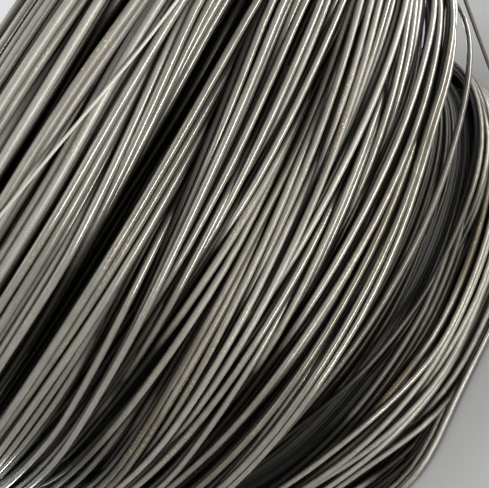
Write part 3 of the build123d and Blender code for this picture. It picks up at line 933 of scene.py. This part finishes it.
tieMaterial = makePlainWire("annealed_tie_wire", placeOnWire, tieLook)
path = tiePath()
wornTies = []
for number, azimuth in enumerate(ties["azimuths"], start=1):
    turn = np.array(Matrix.Rotation(math.radians(azimuth), 3, "Z"))
    tie = makeWireAlong(f"twisted_tie_{number}", path @ turn.T, ties["strandRadius"], ties["sides"])
    tie.data.materials.append(tieMaterial)
    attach(tie, "root")
    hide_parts(f"tie_wire_{number}")
    wornTies.append(tie)
print("tie wires twisted:", len(path), "steps each")

thinLook = dict(dark=(0.4, 0.385, 0.34, 1), light=(0.5, 0.485, 0.44, 1), brown=(0.34, 0.305, 0.24, 1),
                by=("Stretches", "Streaks", "Streaks"), rough=0.55, rubbed=0.4, metallic=0.15, bump=0.1,
                bumpDepth=0.0001, roundScale=250.0)


# The thin wire across the upper turns keeps its CAD shape, and its marks run round the coil
def placeOnThinWire(tree):
    position = separated(tree, placeInSpace(tree))
    turned = maths(tree, "ARCTAN2", position["X"], maths(tree, "MULTIPLY", position["Y"], -1.0))
    across = maths(tree, "MULTIPLY", position["Z"], thinLook["roundScale"])
    along = maths(tree, "MULTIPLY", turned, coil["wallRadius"])
    return addNode(tree, "CombineXYZ", {"X": along, "Y": across})["Vector"]


thinMaterial = makePlainWire("bright_thin_wire", placeOnThinWire, thinLook)
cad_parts["thin_wire"].material_slots[0].material = thinMaterial

# A solid heart behind the turns, so that no light shines through; its near-black colour is painted shade.
# Its depths behind the wall and under the top are in wire diameters.
core = dict(steps=96, inside=1.1, underTop=2.2, topFall=2.6, overFoot=1.5, depth=7.0, recessDepth=13.5,
            footDepth=10.5, bottomDepth=14, recess=(-33, -35.5, -50), foot=(-56, -64),
            dark=(0.01, 0.0088, 0.0064, 1), light=(0.02, 0.0175, 0.013, 1), rough=0.7, bump=1.0,
            bumpDepth=0.001)


def makeCore():
    inner, top = coil["boreRadius"] + core["inside"] * wire, coil["top"]
    lowest = coil["bottom"] + core["overFoot"] * wire
    outline = [(inner, lowest), (inner, top - core["underTop"] * wire),
               (coil["wallRadius"] - coil["shoulder"], top - core["topFall"] * wire)]
    overRecess, *inRecess = (heightOf(level) for level in core["recess"])
    inFoot = (heightOf(level) for level in core["foot"])
    for depth, heights in (("depth", (top - coil["shoulder"], overRecess)), ("recessDepth", inRecess),
                           ("footDepth", inFoot), ("bottomDepth", (lowest,))):
        outline += [(coil["wallRadius"] - core[depth] * wire, height) for height in heights]
    turned = np.radians(np.arange(core["steps"]) * 360 / core["steps"])
    points = [(r * math.sin(a), -r * math.cos(a), z) for a in turned for r, z in outline]
    n = len(outline)
    faces = []
    for step in range(core["steps"]):
        after = (step + 1) % core["steps"]
        for k in range(n):
            faces.append((step * n + k, step * n + (k + 1) % n, after * n + (k + 1) % n, after * n + k))
    return addMesh("packed_heart", points, faces)


# Painted shade: nearly black, as between turns too deep to be seen one by one
def makeHeartMaterial():
    material, tree, shader = newMaterial("packed_heart_painted_shade")
    position = placeInSpace(tree)
    # Lines a wire apart up the wall, and a slow change along them, in the painted shade and the bump
    ridges = maths(tree, "SINE", maths(tree, "MULTIPLY", separated(tree, position)["Z"], 2 * math.pi / wire))
    slow = noise(tree, position, 30.0)
    shade = maths(tree, "MULTIPLY", ramped(tree, ridges, -0.6, 1.0), ramped(tree, slow, 0.35, 0.7))
    setInputs(tree, shader, {
        "Base Color": blended(tree, shade, core["dark"], core["light"]), "Roughness": core["rough"],
        "Normal": bumped(tree, ridges, core["bump"], core["bumpDepth"])})
    return material


heart = makeCore()
heart.data.materials.append(makeHeartMaterial())
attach(heart, "root")
print("heart packed behind the turns")

# Camera at the photograph's place, close to the wall, tilted down and rolled over
view = dict(distance=0.540, height=coil["eyeLevel"], tilt=19.9, roll=-57.8, lensPixels=400, imageWidth=489,
            sensor=36, nearest=0.01)


def makeCamera():
    lens = bpy.data.cameras.new("camera")
    lens.sensor_width = view["sensor"]
    lens.lens = view["sensor"] * view["lensPixels"] / view["imageWidth"]
    lens.clip_start = view["nearest"]
    body = addObject("camera", lens)
    tilt = Matrix.Rotation(math.radians(90 - view["tilt"]), 4, "X")
    roll = Matrix.Rotation(math.radians(view["roll"]), 4, "Z")
    body.matrix_world = Matrix.Translation((0, -view["distance"], view["height"])) @ tilt @ roll
    bpy.context.scene.camera = body


# Low narrow lamps stand close round the coil and light it alone, as they would burn spots into the floor.
# Around gives the direction of each pair and its share of the power. Overhead, strip and broad are in watts.
studio = dict(
    overhead=12, overheadPlace=(-0.2, -0.5, 1.9), overheadSize=1.6, aimAt=(0, 0, 0.2),
    strip=1.85, stripHeight=0.045, broad=0.15, broadHeight=0.18, broadBack=0.04,
    lowRadius=0.62, lowLevel=0.1, lowWidth=0.54,
    around=((9, 1.0), (58, 1.0), (125, 0.6), (170, 0.6), (215, 0.6), (258, 0.6)),
    world=0.65, backdrop=0.8, worldColour=(0.93, 0.94, 0.96, 1),
    floorHalf=4, floorDark=(0.72, 0.72, 0.7, 1), floorPale=(0.78, 0.78, 0.76, 1), floorRough=0.9,
)


def makeFloor():
    material, tree, shader = newMaterial("pale_floor")
    cloudy = noise(tree, placeInSpace(tree), 3.0)
    setInputs(tree, shader, {"Base Color": blended(tree, cloudy, studio["floorDark"], studio["floorPale"]),
                             "Roughness": studio["floorRough"]})
    half = studio["floorHalf"]
    corners = [(-half, -half, 0), (half, -half, 0), (half, half, 0), (-half, half, 0)]
    floor = addMesh("floor", corners, [(0, 1, 2, 3)])
    floor.data.materials.append(material)


def addLamp(name, place, width, height, power):
    light = bpy.data.lights.new(name, "AREA")
    light.shape = "RECTANGLE"
    light.size, light.size_y = width, height
    light.energy = power
    body = addObject(name, light)
    body.location = place
    body.rotation_euler = (Vector(studio["aimAt"]) - Vector(place)).to_track_quat("-Z", "Y").to_euler()
    body.visible_camera = False
    return body


def makeLamps():
    size = studio["overheadSize"]
    addLamp("overhead", studio["overheadPlace"], size, size, studio["overhead"])
    lit = bpy.data.collections.new("lit_by_low_lamps")
    for body in pieces + wornTies + [heart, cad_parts["thin_wire"]]:
        lit.objects.link(body)
    for number, (azimuth, share) in enumerate(studio["around"], start=1):
        turned = math.radians(azimuth - 90)
        out = Vector((math.cos(turned), math.sin(turned), 0))
        for name, back in (("strip", 0.0), ("broad", studio["broadBack"])):
            place = out * (studio["lowRadius"] + back) + Vector((0, 0, studio["lowLevel"]))
            lamp = addLamp(f"{name}_{number}", place, studio["lowWidth"], studio[name + "Height"],
                           share * studio[name])
            lamp.light_linking.receiver_collection = lit


# Camera, glossy and transmission rays all see the paler backdrop
def makeWorld():
    world = bpy.data.worlds.new("studio")
    world.use_nodes = True
    tree = world.node_tree
    rays = addNode(tree, "LightPath", {})
    seen = maths(tree, "MAXIMUM", rays["Is Camera Ray"],
                 maths(tree, "MAXIMUM", rays["Is Glossy Ray"], rays["Is Transmission Ray"]))
    strength = ramped(tree, seen, 0.0, 1.0, studio["world"], studio["backdrop"])
    setInputs(tree, tree.nodes["Background"].inputs, {"Color": studio["worldColour"], "Strength": strength})
    bpy.context.scene.world = world
    bpy.context.scene.view_settings.view_transform = "Standard"


makeCamera()
makeFloor()
makeLamps()
makeWorld()
print("camera, floor, lamps and backdrop placed")
